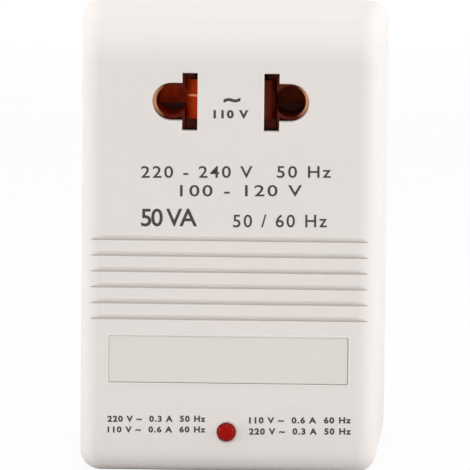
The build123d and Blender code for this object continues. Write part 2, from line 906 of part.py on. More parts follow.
# Fold-out plug: drum with trunnions, and two blades that pass through it
def blade_solid(side):
    """A blade folded down, its heel standing up through the drum."""
    with BuildPart() as made:
        with BuildSketch(Plane.YZ.offset(side * blade_pitch / 2 - blade_thickness / 2)):
            with Locations((plug_axis_y, (blade_tip_z + plug_z) / 2)):
                Rectangle(blade_width, plug_z - blade_tip_z)
            with Locations((plug_axis_y, plug_z + heel_reach / 2)):
                Rectangle(heel_width, heel_reach)
        extrude(amount=blade_thickness)
        tip_edges = made.edges().filter_by(Axis.X).group_by(Axis.Z)[0]
        chamfer(tip_edges, blade_tip_bevel)
        hole_z = blade_tip_z + blade_hole_from_tip
        bar(
            (side * blade_pitch / 2 - blade_thickness, plug_axis_y, hole_z),
            (side * blade_pitch / 2 + blade_thickness, plug_axis_y, hole_z),
            blade_hole / 2,
            mode=Mode.SUBTRACT,
        )
    return made


blades = [blade_solid(side) for side in (-1, 1)]
keep(blades[0], "plug_blade_left")
keep(blades[1], "plug_blade_right")

with BuildPart() as plug_drum:
    ends = (-drum_half_length, drum_half_length)
    bar((ends[0], plug_axis_y, plug_z), (ends[1], plug_axis_y, plug_z), drum_radius)
    for side in (-1, 1):
        bar(
            (side * drum_half_length, plug_axis_y, plug_z),
            (side * (drum_half_length + trunnion_length), plug_axis_y, plug_z),
            trunnion_radius,
        )
    for blade in blades:
        add(blade.part, mode=Mode.SUBTRACT)
keep(plug_drum, "plug_drum")

# Keeper: shuts the well, holds the trunnions in and carries the springs
spring_z = about(plug_z, 2 * spring_half_height)
tail_z = (spring_z[1] - spring_sheet, spring_z[1])


def spring_x(side):
    return about(side * blade_pitch / 2, spring_width)


with BuildPart() as plug_keeper:
    slab(
        about(0, 2 * (well_half_width + well_side_wall)),
        (keeper_back_y, well_end_y),
        (well_low_z - well_wall, well_high_z + well_wall),
    )
    for side in (-1, 1):
        lug_x = side * keeper_lug_x
        bar((lug_x, keeper_back_y, plug_z), (lug_x, well_end_y, plug_z), keeper_lug / 2)
        slab(
            mirrored(side, well_half_width, keeper_lug_x),
            (keeper_back_y, well_end_y),
            about(plug_z, keeper_lug),
        )
        thread(
            (lug_x, keeper_back_y, plug_z),
            (lug_x, well_end_y, plug_z),
            small_screw_core / 2 + fit_gap,
            Mode.SUBTRACT,
        )
        # Tongue that shuts the notch under a trunnion
        slab(
            mirrored(side, well_half_width + fit_gap, well_half_width + well_side_wall - fit_gap),
            (well_end_y, plug_axis_y - notch_half_width),
            about(plug_z, 2 * (notch_half_width - fit_gap)),
        )
        slab(spring_x(side), (keeper_back_y, well_end_y), tail_z, Mode.SUBTRACT)
keep(plug_keeper, "plug_keeper")

screw_set(
    screw(1, small_screw_core, small_screw_length, small_head, small_head_height, thread),
    [(side * keeper_lug_x, keeper_back_y, plug_z) for side in (-1, 1)],
    "keeper_screws",
)

for side, name in ((-1, "plug_spring_left"), (1, "plug_spring_right")):
    with BuildPart() as plug_spring:
        slab(spring_x(side), (well_end_y, well_end_y + spring_sheet), spring_z)
        slab(spring_x(side), (keeper_back_y - spring_tail, well_end_y), tail_z)
    keep(plug_spring, name)

# Selector switch: case, base with terminals, slider with its knob, and bridge
case_x = (selector_face_x, selector_inner_x - selector_base)
case_y = about(selector_y, selector_width)
case_z = about(selector_z, selector_height)
slider_x = (
    selector_face_x + selector_skin + fit_gap,
    selector_face_x + selector_skin + fit_gap + slider_thickness,
)
knob_gap = 2 * running_gap
slider_height = selector_height - 2 * selector_skin - selector_travel - 2 * running_gap
start_z = selector_z - selector_travel / 2  # the slider rests at the low end

with BuildPart() as selector_case:
    slab(case_x, case_y, case_z)
    slab(
        (case_x[0] + selector_skin, case_x[1]),
        about(selector_y, selector_width - 2 * selector_skin),
        about(selector_z, selector_height - 2 * selector_skin),
        Mode.SUBTRACT,
    )
    slab(
        (case_x[0], case_x[0] + selector_skin),
        about(selector_y, knob_width + knob_gap),
        about(selector_z, knob_height + selector_travel + knob_gap),
        Mode.SUBTRACT,
    )
keep(selector_case, "selector_case")

pin_places = [
    (
        selector_y + (row - (selector_pin_rows - 1) / 2) * selector_pin_pitch_y,
        selector_z + (number - (selector_pin_count - 1) / 2) * selector_travel,
    )
    for row in range(selector_pin_rows)
    for number in range(selector_pin_count)
]
with BuildPart() as selector_terminals:
    for y, z in pin_places:
        slab(
            (case_x[1] - selector_pin_sheet, selector_inner_x + selector_pin_length),
            about(y, selector_pin_sheet),
            about(z, selector_pin_width),
        )
keep(selector_terminals, "selector_terminals")

with BuildPart() as selector_floor:
    slab((case_x[1], selector_inner_x), case_y, case_z)
    for y, z in pin_places:
        slab(
            (case_x[1], selector_inner_x),
            about(y, selector_pin_sheet),
            about(z, selector_pin_width),
            Mode.SUBTRACT,
        )
keep(selector_floor, "selector_floor")

with BuildPart() as selector_knob:
    slab(slider_x, about(selector_y, slider_width), about(start_z, slider_height))
    slab(
        (selector_wall_x + knob_set_back, slider_x[0]),
        about(selector_y, knob_width),
        about(start_z, knob_height),
    )
    for number in range(knob_grooves):
        spot = start_z + (number - (knob_grooves - 1) / 2) * 2 * knob_groove
        slab(
            (selector_wall_x + knob_set_back, selector_wall_x + knob_set_back + knob_groove),
            about(selector_y, knob_width),
            about(spot, knob_groove),
            Mode.SUBTRACT,
        )
keep(selector_knob, "selector_knob")

with BuildPart() as selector_bridge:
    slab(
        (slider_x[1], slider_x[1] + bridge_sheet),
        about(selector_y, slider_width - 2 * selector_skin),
        about(start_z, slider_height - 2 * selector_skin),
    )
keep(selector_bridge, "selector_bridge")


# Insulated leads, each on its own route between two terminals
def lead(points):
    """A square insulated lead along the points, with rounded turns, flat to its first turn."""
    with BuildPart() as made:
        with BuildLine():
            route = FilletPolyline(*points, radius=lead_bend)
        first, second, third = (Vector(*point) for point in points[:3])
        across = (second - first).cross(third - second)
        with BuildSketch(Plane(route @ 0, x_dir=across, z_dir=route % 0)):
            Rectangle(lead_width, lead_width)
        sweep()
    return made.part


lead_level_z = fuse_z + fuse_radius + lead_width + lead_clear
tail_end_y = chamber_end_y + tail_length
tail_under_z = socket_z - tail_height / 2 - lead_clear
pin_end_z = terminal_top_z + lead_clear

socket_routes = [
    [
        (side * tail_x, tail_end_y - tail_hole, tail_under_z),
        (side * tail_x, tail_end_y - tail_hole, lead_level_z),
        (pin_x, terminal_y, lead_level_z),
        (pin_x, terminal_y, pin_end_z),
    ]
    for side, pin_x in ((-1, terminals_x[0]), (1, terminals_x[-2]))
]
socket_lead_pair = [lead(route) for route in socket_routes]
with BuildPart() as socket_leads:
    add(socket_lead_pair)
keep(socket_leads, "socket_leads")

spring_end_y = keeper_back_y - spring_tail
plug_lead_z = spring_z[1] + lead_width / 2 + lead_clear
plug_lead_x = tail_x + 2 * lead_bend
plug_lead_solid = lead(
    [
        (blade_pitch / 2, spring_end_y, plug_lead_z),
        (plug_lead_x, spring_end_y, plug_lead_z),
        (plug_lead_x, spring_end_y, lead_level_z),
        (terminals_x[-1], terminal_y, lead_level_z),
        (terminals_x[-1], terminal_y, pin_end_z),
    ]
)
with BuildPart() as plug_lead:
    add(plug_lead_solid)
keep(plug_lead, "plug_lead")
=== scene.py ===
"""Travel voltage converter: shell, finishes, printing, label, lamp, light and camera round its frame.

Metres. X is to the right, Y goes into the body from the front face, Z is up.
"""

import math

import bmesh
import bpy
from mathutils import Matrix, Vector


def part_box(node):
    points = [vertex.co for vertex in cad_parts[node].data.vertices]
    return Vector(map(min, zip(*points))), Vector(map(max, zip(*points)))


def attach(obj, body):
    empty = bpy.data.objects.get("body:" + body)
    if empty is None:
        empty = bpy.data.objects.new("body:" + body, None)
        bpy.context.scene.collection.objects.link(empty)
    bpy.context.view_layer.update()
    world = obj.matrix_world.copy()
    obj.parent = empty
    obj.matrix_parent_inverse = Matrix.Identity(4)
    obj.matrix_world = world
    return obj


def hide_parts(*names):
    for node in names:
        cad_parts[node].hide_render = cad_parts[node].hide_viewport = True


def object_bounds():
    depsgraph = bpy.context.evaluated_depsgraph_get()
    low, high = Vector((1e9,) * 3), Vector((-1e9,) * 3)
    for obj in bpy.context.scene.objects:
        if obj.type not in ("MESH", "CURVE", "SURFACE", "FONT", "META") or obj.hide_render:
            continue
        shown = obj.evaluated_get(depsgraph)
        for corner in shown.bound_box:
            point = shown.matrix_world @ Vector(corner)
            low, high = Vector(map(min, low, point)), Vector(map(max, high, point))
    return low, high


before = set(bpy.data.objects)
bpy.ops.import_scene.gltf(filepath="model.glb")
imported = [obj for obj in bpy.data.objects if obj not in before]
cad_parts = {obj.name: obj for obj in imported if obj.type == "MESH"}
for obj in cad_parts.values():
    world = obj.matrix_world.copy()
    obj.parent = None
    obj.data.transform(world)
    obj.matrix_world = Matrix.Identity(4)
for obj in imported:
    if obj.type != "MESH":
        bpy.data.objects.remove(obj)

cad_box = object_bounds()
mm = 0.001

# Photograph and camera
image_size = 470
focal_pixels = 6288.5
sensor = 36.0
camera_place = Vector((19.09, -1021.0, 160.94)) * mm
camera_yaw, camera_pitch, camera_roll = 1.043, -6.969, -0.555

# Housing: the front face, and the full round along its top edge
front_y = -21.0 * mm
front_top_z = 72.8 * mm
side_lean = math.radians(2.4)
top_lean = math.radians(0.7)
cast_round = 3.3 * mm
top_round = 7.0 * mm
top_round_steps = 18
side_face = 0.95  # a face whose normal leans this far to a side is a side wall, and stays whole
sharp_from = math.radians(25)
upright, leaning = 0.005, 0.02  # at most, and at least, of a face's normal along Z
tiny = 0.002 * mm
merge_within = 0.0005 * mm

# Grip grooves: each slopes inwards from its top edge and ends at a ledge
groove_count = 6
groove_pitch = 2.56 * mm
groove_width = 0.88 * mm
groove_depth = 0.6 * mm  # of the solid
groove_sink = 0.74 * mm  # as shown
groove_ledge = 0.06 * mm
lowest_groove_z = 25.2 * mm
groove_flat = 20.2 * mm  # half length of the part between the rounded corners
groove_slices = 6
groove_start_slope = 1.35  # of the mean slope; it eases towards the ledge

# Sprung lip behind each slot, and the foot and head plates set back below and above it. A line is
# seen from above, in millimetres from the middle line and behind the front wall's inside. Heights
# count from the middle of the slot.
front_wall = 2.0 * mm
lip_line = ((5.36, 0.1), (6.3, 0.5), (7.15, 1.4))
lip_thickness = 0.15 * mm
lip_low, lip_high = -2.9 * mm, 3.45 * mm
lip_seam_z = 0.86 * mm
lip_seam = 0.06 * mm
lip_foot_line = ((5.4, 1.6), (7.2, 1.6))
lip_foot_low, lip_foot_high = -4.5 * mm, -2.95 * mm
lip_head_line = ((5.8, 1.6), (7.2, 1.6))
lip_head_low, lip_head_high = 3.5 * mm, 4.5 * mm

# Label film and the bead round its recess
recess_gap_near = 0.175 * mm  # left and top, from the plate to the edge of the recess
recess_gap_far = 0.525 * mm  # right and bottom
film_gap_near = 0.02 * mm
film_gap_far = 0.1 * mm
film_raise = 0.05 * mm  # in front of the plate below it
film_bevel = 0.05 * mm
recess_corner = 0.3 * mm
rim_width = 0.34 * mm
rim_height = 0.07 * mm
rim_foot_share = 0.02  # of the rim's width, by which its foot stays clear at either side
rim_steps = 6
corner_steps = 6

# Printing
ink_height = 0.012 * mm
widest_spacing = 1.2
tightest_spacing = 0.85
letter_curve_steps = 4
setting_height = 2.0 * mm
setting_width = 4.6 * mm
setting_away = 7.4 * mm  # from the middle of the selector
setting_bold = 0.03

# Lamp lens
lens_sections = 64
lens_rings = 14
lens_radius = 1.5 * mm
lens_dome = 0.9 * mm
lamp_hole_radius = 1.6 * mm
lamp_hole_slack = 0.02 * mm
lamp_hole_gap = 0.03 * mm
lamp_shift = -0.2 * mm  # the photographed lamp sits a little left of the middle line
lens_flange = 1.0 * mm
lens_edge = 0.1 * mm

# Patterns in the finishes, in millimetres
lit_left_blend = 1.0  # half the width in which the left contact's copper, painted brighter as painted light, gives way to the right one's
lip_end_x = 7.2  # where the lips end and the sleeves begin
lip_end_blend = 0.1
seam_glint, seam_glint_fade = 0.08, 0.2  # painted highlight above and below the seam
seam_glint_end, seam_glint_gone = 6.7, 7.0
highlight_from, highlight_to = 10.6, 12.2  # painted highlight, on the outer side of each sleeve
highlight_depth, highlight_fade = 0.05, 0.35
lamp_core, lamp_rim = 0.9, 1.6
plate_pitch = 0.5
wire_pitch = 0.24
wire_climb_share = 0.004
tape_lap_x, tape_lap, tape_lap_fade = 6.0, 0.1, 0.25
track_pitch, track_shift = 2.9, 1.5
track_half, track_fade = 0.18, 0.22  # as shares of the pitch
resistor_half = 2.1
band_pitch, band_half = 1.0, 0.16
fuse_seal_x, fuse_body_x = 4.2, 4.4

# Light: the lamps' names, places and sides in metres, and power in watts
lamps = (
    ("top_box", (0.0, -0.12, 0.68), 0.5, 1.48),
    ("right_box", (0.65, -0.1, 0.15), 0.4, 2.2),
    ("left_box", (-0.65, -0.1, 0.15), 0.4, 1.95),
    ("front_box", (0.0, -0.9, 0.06), 0.5, 0.15),
    ("back_box", (0.0, 0.9, 0.03), 0.5, 1.5),
)
lamp_target = (0.0, 0.0, 0.036)
sky_level = 0.6
floor_glow_share = 0.88
floor_shade_grey_near = 0.62  # painted shade: the floor bounces less light beside the housing's foot, which darkens the foot's bottom edge
floor_grey_far = 0.84
floor_shade_reach = 9.0 * mm
floor_white = 0.95
floor_size = 3.0
floor_drop = 0.05 * mm


class Value:
    """One number in a material, which ordinary arithmetic turns into Math nodes."""

    def __init__(self, finish, socket):
        self.finish = finish
        self.socket = socket

    def math(self, operation, *numbers, clamp=False):
        """What a Math node makes of these numbers."""
        settings = {"operation": operation, "use_clamp": clamp}
        return self.finish.node("ShaderNodeMath", settings, dict(enumerate(numbers)))["Value"]

    def __add__(self, other):
        return self.math("ADD", self, other)

    def __radd__(self, other):
        return self.math("ADD", other, self)

    def __sub__(self, other):
        return self.math("SUBTRACT", self, other)

    def __rsub__(self, other):
        return self.math("SUBTRACT", other, self)

    def __mul__(self, other):
        return self.math("MULTIPLY", self, other)

    def __rmul__(self, other):
        return self.math("MULTIPLY", other, self)

    def __truediv__(self, other):
        return self.math("DIVIDE", self, other)

    def __rtruediv__(self, other):
        return self.math("DIVIDE", other, self)

    def __pow__(self, other):
        return self.math("POWER", self, other)

    def __gt__(self, other):
        return self.math("GREATER_THAN", self, other)

    def __lt__(self, other):
        return self.math("LESS_THAN", self, other)

    def __abs__(self):
        return self.math("ABSOLUTE", self)

    def fraction(self):
        """What is left above the whole number below."""
        return self.math("FRACT", self)

    def clamped(self):
        """The value, kept from 0 to 1."""
        return self.math("ADD", self, 0.0, clamp=True)

    def between(self, low, high):
        """0 below low, 1 above high, and even in between."""
        return self.math("DIVIDE", self - low, high - low, clamp=True)


class Node:
    """A node that was made; its outputs are read by name or number."""

    def __init__(self, finish, made):
        self.finish = finish
        self.made = made

    def __getitem__(self, name):
        return Value(self.finish, self.made.outputs[name])


class Finish:
    """A material in the making, or the world's own nodes."""

    def __init__(self, owner):
        owner.use_nodes = True
        self.owner = owner
        self.tree = owner.node_tree
        self.tree.nodes.clear()

    def node(self, kind, settings=None, sockets=None):
        """A node of this type, with its settings first, then values or links for its sockets."""
        made = self.tree.nodes.new(kind)
        for name, value in (settings or {}).items():
            setattr(made, name, value)
        for name, value in (sockets or {}).items():
            if isinstance(value, Value):
                self.tree.links.new(value.socket, made.inputs[name])
            elif isinstance(value, tuple) and made.inputs[name].type == "RGBA":
                made.inputs[name].default_value = (*value, 1.0)
            else:
                made.inputs[name].default_value = value
        return Node(self, made)

    def place(self):
        """Where a point lies in the object, in metres."""
        return self.node("ShaderNodeTexCoord")["Object"]

    def axes(self, letters="XYZ"):
        """How far a point lies along each of these axes, in millimetres."""
        split = self.node("ShaderNodeSeparateXYZ", None, {"Vector": self.place()})
        return [split[letter] / mm for letter in letters]

    def seen(self):
        """1 for what the camera sees, also in metal or through resin, and 0 for light on the part."""
        path = self.node("ShaderNodeLightPath")
        rays = path["Is Camera Ray"] + path["Is Glossy Ray"] + path["Is Transmission Ray"]
        return rays.clamped()

    def stretched(self, scale):
        """The point, with its axes scaled, for patterns that run one way."""
        settings = {"operation": "MULTIPLY"}
        return self.node("ShaderNodeVectorMath", settings, {0: self.place(), 1: scale})["Vector"]

    def noise(self, size, detail=2.0, roughness=0.5, place=None):
        """Noise whose lumps are about size metres across, from 0 to 1."""
        sockets = {
            "Vector": place or self.place(),
            "Scale": 1 / size,
            "Detail": detail,
            "Roughness": roughness,
        }
        return self.node("ShaderNodeTexNoise", None, sockets)["Fac"]

    def blend(self, share, first, second):
        """A colour between two colours."""
        settings = {"data_type": "RGBA", "clamp_factor": True}
        return self.node("ShaderNodeMix", settings, {0: share, 6: first, 7: second})[2]

    def bump(self, height, depth, strength=1.0):
        """A normal from a height of 0 to 1 that stands for depth metres."""
        sockets = {"Height": height, "Distance": depth, "Strength": strength}
        return self.node("ShaderNodeBump", None, sockets)["Normal"]

    def close(self, **sockets):
        """The shader with these sockets, wired to the output."""
        named = {name.replace("_", " "): value for name, value in sockets.items()}
        shader = self.node("ShaderNodeBsdfPrincipled", None, named)
        self.node("ShaderNodeOutputMaterial", None, {"Surface": shader["BSDF"]})
        return self.owner


def new_finish(name):
    """A new material by this name, with nothing in it yet."""
    return Finish(bpy.data.materials.new(name))


def tone(red, green, blue):
    """A colour given in screen values of 0 to 255, as linear light."""
    linear = []
    for level in (red / 255, green / 255, blue / 255):
        linear.append(level / 12.92 if level <= 0.04045 else ((level + 0.055) / 1.055) ** 2.4)
    return tuple(linear)


def shaded(colour, factor):
    """A colour made lighter or darker."""
    return tuple(level * factor for level in colour)


def moulded(name, colour, grain, grain_depth, roughness, shine=0.5):
    """Injection-moulded plastic with a spark-eroded grain."""
    made = new_finish(name)
    broad = made.noise(18 * mm, 2.0)
    fine = made.noise(grain, 3.0, 0.6)
    cast = made.blend(broad, shaded(colour, 0.985), shaded(colour, 1.015))
    speck = made.noise(1.6 * mm, 4.0, 0.7).between(0.66, 0.74)
    return made.close(
        Base_Color=made.blend(speck * 0.12, cast, shaded(colour, 0.9)),
        Roughness=roughness + 0.1 * broad + 0.08 * fine,
        Normal=made.bump(fine, grain_depth, 0.5),
        IOR=1.5,
        Specular_IOR_Level=shine,
    )


def drawn_lines(made, along):
    """The fine lines that drawing or rolling leaves along one axis of a metal."""
    scale = tuple(0.06 if axis == along else 1.0 for axis in "XYZ")
    return made.noise(0.12 * mm, 3.0, 0.6, made.stretched(scale))


def tarnish_clouds(made):
    """Cloudy patches of tarnish on a metal."""
    return made.noise(2.4 * mm, 3.0, 0.55).between(0.42, 0.72)


def rolled_metal(name, colour, worn, along, roughness, tarnish):
    """Sheet or bar metal with drawing lines along one axis and some tarnish."""
    made = new_finish(name)
    lines = drawn_lines(made, along)
    cloud = tarnish_clouds(made)
    return made.close(
        Base_Color=made.blend(cloud * tarnish, colour, worn),
        Metallic=1.0,
        Roughness=roughness + 0.16 * cloud + 0.1 * lines,
        Normal=made.bump(lines, 0.004 * mm, 0.35),
    )


def aged_copper():
    """Oxidised contact copper with painted light: a brighter left contact, painted highlights at the
    sleeves' outer edges and along the left lip's seam, and painted shade on the head and foot plates.
    """
    made = new_finish("aged_copper")
    x, y, z = made.axes()
    low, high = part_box("socket_contact_left")
    side, behind = abs(x), y - low.y / mm
    rise = z - (low.z + high.z) / 2 / mm
    # painted light: the left contact gets a brighter copper than the right one, for the light that falls
    # into the left opening
    left = 1 - x.between(-lit_left_blend, lit_left_blend)
    lines = drawn_lines(made, "Y")
    cloud = tarnish_clouds(made)
    clean = made.blend(left, tone(136, 52, 28), tone(226, 76, 22))
    clouded = made.blend(left, tone(90, 34, 18), tone(150, 46, 14))
    copper = made.blend(cloud * 0.6, clean, clouded)

    # the lips' own copper tone; the left lip's brighter tone is painted light
    on_lip = 1 - side.between(lip_end_x, lip_end_x + lip_end_blend)
    copper = made.blend(on_lip, copper, made.blend(left, tone(88, 25, 7), tone(162, 43, 4)))
    # painted shade: the head and foot plates, set back above and below the lip, get a dark brown that
    # stands in for the shade there
    on_head = rise.between(lip_high / mm, lip_head_low / mm)
    on_foot = 1 - rise.between(lip_foot_high / mm, lip_low / mm)
    copper = made.blend((on_head + on_foot) * on_lip, copper, tone(78, 27, 17))
    # painted highlight along the left lip's seam, where its edges would catch the light
    by_seam = 1 - abs(rise - lip_seam_z / mm).between(seam_glint, seam_glint_fade)
    seam_highlight = left * by_seam * (1 - side.between(seam_glint_end, seam_glint_gone))
    copper = made.blend(seam_highlight, copper, tone(250, 170, 120))

    # painted highlight: each sleeve's front edge goes from dark brown on its inner side to a bright peach
    # highlight on its outer side
    edge = made.blend(side.between(highlight_from, highlight_to), tone(92, 32, 16), tone(238, 172, 130))
    at_highlight = (1 - behind.between(highlight_depth, highlight_fade)) * (1 - on_lip)
    return made.close(
        Base_Color=made.blend(at_highlight, copper, edge),
        Metallic=0.6,
        Specular_IOR_Level=0.15,
        Roughness=0.38 + 0.16 * cloud + 0.1 * lines,
        Normal=made.bump(lines, 0.004 * mm, 0.35),
    )


def satin_film():
    """The blank label's satin film, with a faint horizontal brush."""
    made = new_finish("label_film")
    lines = made.noise(0.1 * mm, 3.0, 0.6, made.stretched((0.04, 1.0, 1.0)))
    broad = made.noise(9 * mm, 2.0)
    film = tone(228, 223, 216)
    return made.close(
        Base_Color=made.blend(broad, shaded(film, 0.985), shaded(film, 1.01)),
        Roughness=0.36 + 0.12 * lines,
        Normal=made.bump(lines, 0.002 * mm, 0.3),
    )


def lens_red():
    """Red diffused lamp resin, deeper at its rim."""
    made = new_finish("lamp_resin")
    x, z = made.axes("XZ")
    low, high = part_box("lamp_lens")
    across, up = x - lamp_shift / mm, z - (low.z + high.z) / 2 / mm
    reach = (across * across + up * up) ** 0.5
    milk = made.noise(0.4 * mm, 2.0)
    return made.close(
        Base_Color=made.blend(reach.between(lamp_core, lamp_rim), tone(158, 12, 4), tone(128, 14, 8)),
        Roughness=0.2 + 0.08 * milk,
        IOR=1.3,
        Specular_IOR_Level=0.15,
        Subsurface_Weight=0.2,
        Subsurface_Radius=(0.6 * mm, 0.1 * mm, 0.1 * mm),
        Subsurface_Scale=1.0,
    )


def printing_ink():
    """Pad-printed ink, thin at the edges of its dots."""
    made = new_finish("grey_ink")
    dots = made.noise(0.22 * mm, 3.0, 0.6).between(0.35, 0.75)
    return made.close(
        Base_Color=made.blend(dots, tone(52, 48, 46), tone(72, 68, 66)),
        Roughness=0.55 + 0.1 * dots,
    )


def laminations():
    """Stamped silicon steel plates, stacked front to back."""
    made = new_finish("stacked_plates")
    (y,) = made.axes("Y")
    seam = abs((y / plate_pitch).fraction() - 0.5).between(0.36, 0.46)
    rust = made.noise(3 * mm, 4.0, 0.6).between(0.55, 0.8)
    plate = made.blend(rust * 0.5, tone(92, 92, 96), tone(96, 74, 58))
    return made.close(
        Base_Color=made.blend(seam, plate, tone(38, 38, 40)),
        Metallic=0.85,
        Roughness=0.42 + 0.2 * seam,
        Normal=made.bump(1 - seam, 0.05 * mm, 0.6),
    )


def wound_wire():
    """Enamelled wire, laid in level turns, with painted shade along the sides of each turn."""
    made = new_finish("enamelled_wire")
    x, y, z = made.axes()
    # painted shade: each turn darkens towards its sides, where the round wires meet
    turn = abs((z / wire_pitch + wire_climb_share * (x + y)).fraction() - 0.5) * 2
    patch = made.noise(1.2 * mm, 2.0)
    return made.close(
        Base_Color=made.blend(turn.between(0.55, 1.0), tone(196, 104, 52), tone(92, 38, 18)),
        Metallic=0.7,
        Roughness=0.24 + 0.12 * patch,
        Normal=made.bump(1 - turn * turn, 0.1 * mm, 0.8),
    )


def polyester_tape():
    """Yellow insulating tape with a lapped end."""
    made = new_finish("winding_tape_film")
    (x,) = made.axes("X")
    lap = abs(x - tape_lap_x).between(tape_lap, tape_lap_fade)
    crease = made.noise(1.6 * mm, 3.0, 0.5, made.stretched((1.0, 1.0, 0.3)))
    return made.close(
        Base_Color=made.blend(lap, tone(170, 138, 34), tone(214, 178, 52)),
        Roughness=0.2 + 0.15 * crease,
        Normal=made.bump(crease, 0.04 * mm, 0.5),
    )


def circuit_board():
    """Phenolic board: brown laminate with a lighter strip across it, over the copper track."""
    made = new_finish("phenolic_board")
    (z,) = made.axes("Z")
    weave = made.noise(0.5 * mm, 4.0, 0.7)
    board_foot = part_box("lamp_board")[0].z / mm
    off_track = abs((z - board_foot) / track_pitch - track_shift).between(track_half, track_fade)
    laminate = made.blend(weave, tone(140, 96, 52), tone(164, 116, 68))
    return made.close(
        Base_Color=made.blend(off_track, tone(178, 120, 66), laminate),
        Roughness=0.38 + 0.2 * weave,
        Normal=made.bump(weave, 0.02 * mm, 0.4),
    )


def banded_resistor():
    """Lacquered resistor body with colour bands, and tinned leads."""
    made = new_finish("banded_lacquer")
    (x,) = made.axes("X")
    on_body = abs(x) < resistor_half
    stripe = abs((x / band_pitch).fraction() - 0.5) < band_half
    colour = made.blend(stripe, tone(206, 178, 132), tone(128, 52, 30))
    return made.close(
        Base_Color=made.blend(on_body, tone(190, 188, 184), colour),
        Metallic=1 - on_body,
        Roughness=0.3 + 0.12 * made.noise(0.6 * mm),
    )


def fuse_case():
    """Tin-plated thermal fuse with a sealed end."""
    made = new_finish("fuse_case")
    (x,) = made.axes("X")
    seal = x.between(fuse_seal_x, fuse_body_x)
    scratch = made.noise(0.3 * mm, 3.0, 0.6, made.stretched((0.1, 1.0, 1.0)))
    return made.close(
        Base_Color=made.blend(seal, tone(186, 182, 172), tone(120, 36, 28)),
        Metallic=1 - seal,
        Roughness=0.3 + 0.15 * scratch,
        Normal=made.bump(scratch, 0.004 * mm, 0.3),
    )


# Camera, as it stood for the photograph
def camera_axes():
    """The camera's right, forward and up directions."""
    turn = (
        Matrix.Rotation(math.radians(camera_yaw), 3, "Z")
        @ Matrix.Rotation(math.radians(camera_pitch), 3, "X")
        @ Matrix.Rotation(math.radians(camera_roll), 3, "Y")
    )
    return turn.col[0].copy(), turn.col[1].copy(), turn.col[2].copy()


def on_front(across, down):
    """The point of the front face that is seen at a pixel of the photograph."""
    right, forward, up = camera_axes()
    half = image_size / 2
    ray = forward + right * ((across - half) / focal_pixels) + up * ((half - down) / focal_pixels)
    return camera_place + ray * ((front_y - camera_place.y) / ray.y)


def make_camera():
    """The camera, with a lens that gives the photograph's frame."""
    right, forward, up = camera_axes()
    data = bpy.data.cameras.new("camera")
    data.sensor_width = sensor
    data.lens = focal_pixels / image_size * sensor
    data.clip_start, data.clip_end = 0.01, 20.0
    camera = bpy.data.objects.new("camera", data)
    turn = Matrix((right, up, -forward)).transposed().to_4x4()
    camera.matrix_world = Matrix.Translation(camera_place) @ turn
    bpy.context.scene.collection.objects.link(camera)
    bpy.context.scene.camera = camera


def mesh_piece(name, mesh, finish, body):
    """A piece from a finished mesh, which rides on a body."""
    piece = bpy.data.objects.new(name, mesh)
    mesh.materials.clear()
    mesh.materials.append(finish)
    bpy.context.scene.collection.objects.link(piece)
    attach(piece, body)
    return piece


# Front housing
def cut_faces(shell, faces, point, normal):
    """Cuts some faces along a plane."""
    edges = {edge for face in faces for edge in face.edges}
    points = {vertex for face in faces for vertex in face.verts}
    bmesh.ops.bisect_plane(
        shell, geom=[*points, *edges, *faces], dist=merge_within, plane_co=point, plane_no=normal
    )


def cast_reach(angle):
    """How far the cast outline lies from the axis of the top round, at an angle from the front."""
    ray_front, ray_up = math.cos(angle), math.sin(angle)
    shift = top_round - cast_round
    to_front = top_round / ray_front
    if ray_up * to_front <= shift:
        return to_front
    to_top = top_round / math.sin(angle + top_lean)
    if ray_front * to_top <= shift:
        return to_top
    along = shift * (ray_front + ray_up)
    return along + math.sqrt(along**2 - 2 * shift**2 + cast_round**2)


def add_top_round(shell):
    """Gives the front housing its full top round, which is larger than the cast corner."""
    centre_y = front_y + top_round
    centre_z = front_top_z + top_round * math.tan(top_lean) - top_round / math.cos(top_lean)
    last = math.pi / 2 - top_lean
    for step in range(top_round_steps + 1):
        angle = last * step / top_round_steps
        shell.normal_update()
        reached = [
            face
            for face in shell.faces
            if max(v.co.z for v in face.verts) > centre_z
            and min(v.co.y for v in face.verts) < centre_y
            and abs(face.normal.x) < side_face
        ]
        cut_faces(shell, reached, (0, centre_y, centre_z), (0, math.sin(angle), math.cos(angle)))
    for vertex in shell.verts:
        front, up = centre_y - vertex.co.y, vertex.co.z - centre_z
        if front > 0 and up > 0:
            share = top_round / cast_reach(min(math.atan2(up, front), last))
            vertex.co.y = centre_y - front * share
            vertex.co.z = centre_z + up * share


def groove_faces(shell, low, top):
    """The faces of one groove, found by their place."""
    return [
        face
        for face in shell.faces
        if all(low - tiny < v.co.z < top + tiny for v in face.verts)
        and all(v.co.y < front_y + groove_depth + tiny for v in face.verts)
        and any(v.co.y > front_y + tiny for v in face.verts)
    ]


def shape_grooves(shell):
    """Makes each groove slope in steeply from its top edge at once."""
    for count in range(groove_count):
        top = lowest_groove_z + count * groove_pitch + groove_width / 2
        low = top - groove_width
        slope_high = groove_width - groove_ledge
        for side in (-1, 1):
            cut_faces(shell, groove_faces(shell, low, top), (side * groove_flat, 0, 0), (1, 0, 0))
        for cut in range(1, groove_slices):
            height = top - slope_high * cut / groove_slices
            cut_faces(shell, groove_faces(shell, low, top), (0, 0, height), (0, 0, 1))
        for vertex in shell.verts:
            x, y, z = vertex.co
            sunk = front_y + tiny < y < front_y + groove_depth + tiny
            if sunk and abs(x) < groove_flat + tiny and low + groove_ledge - tiny < z < top + tiny:
                share = min((top - z) / slope_high, 1.0)
                slope = groove_start_slope + (1 - groove_start_slope) * share
                vertex.co.y = front_y + groove_sink * share * slope


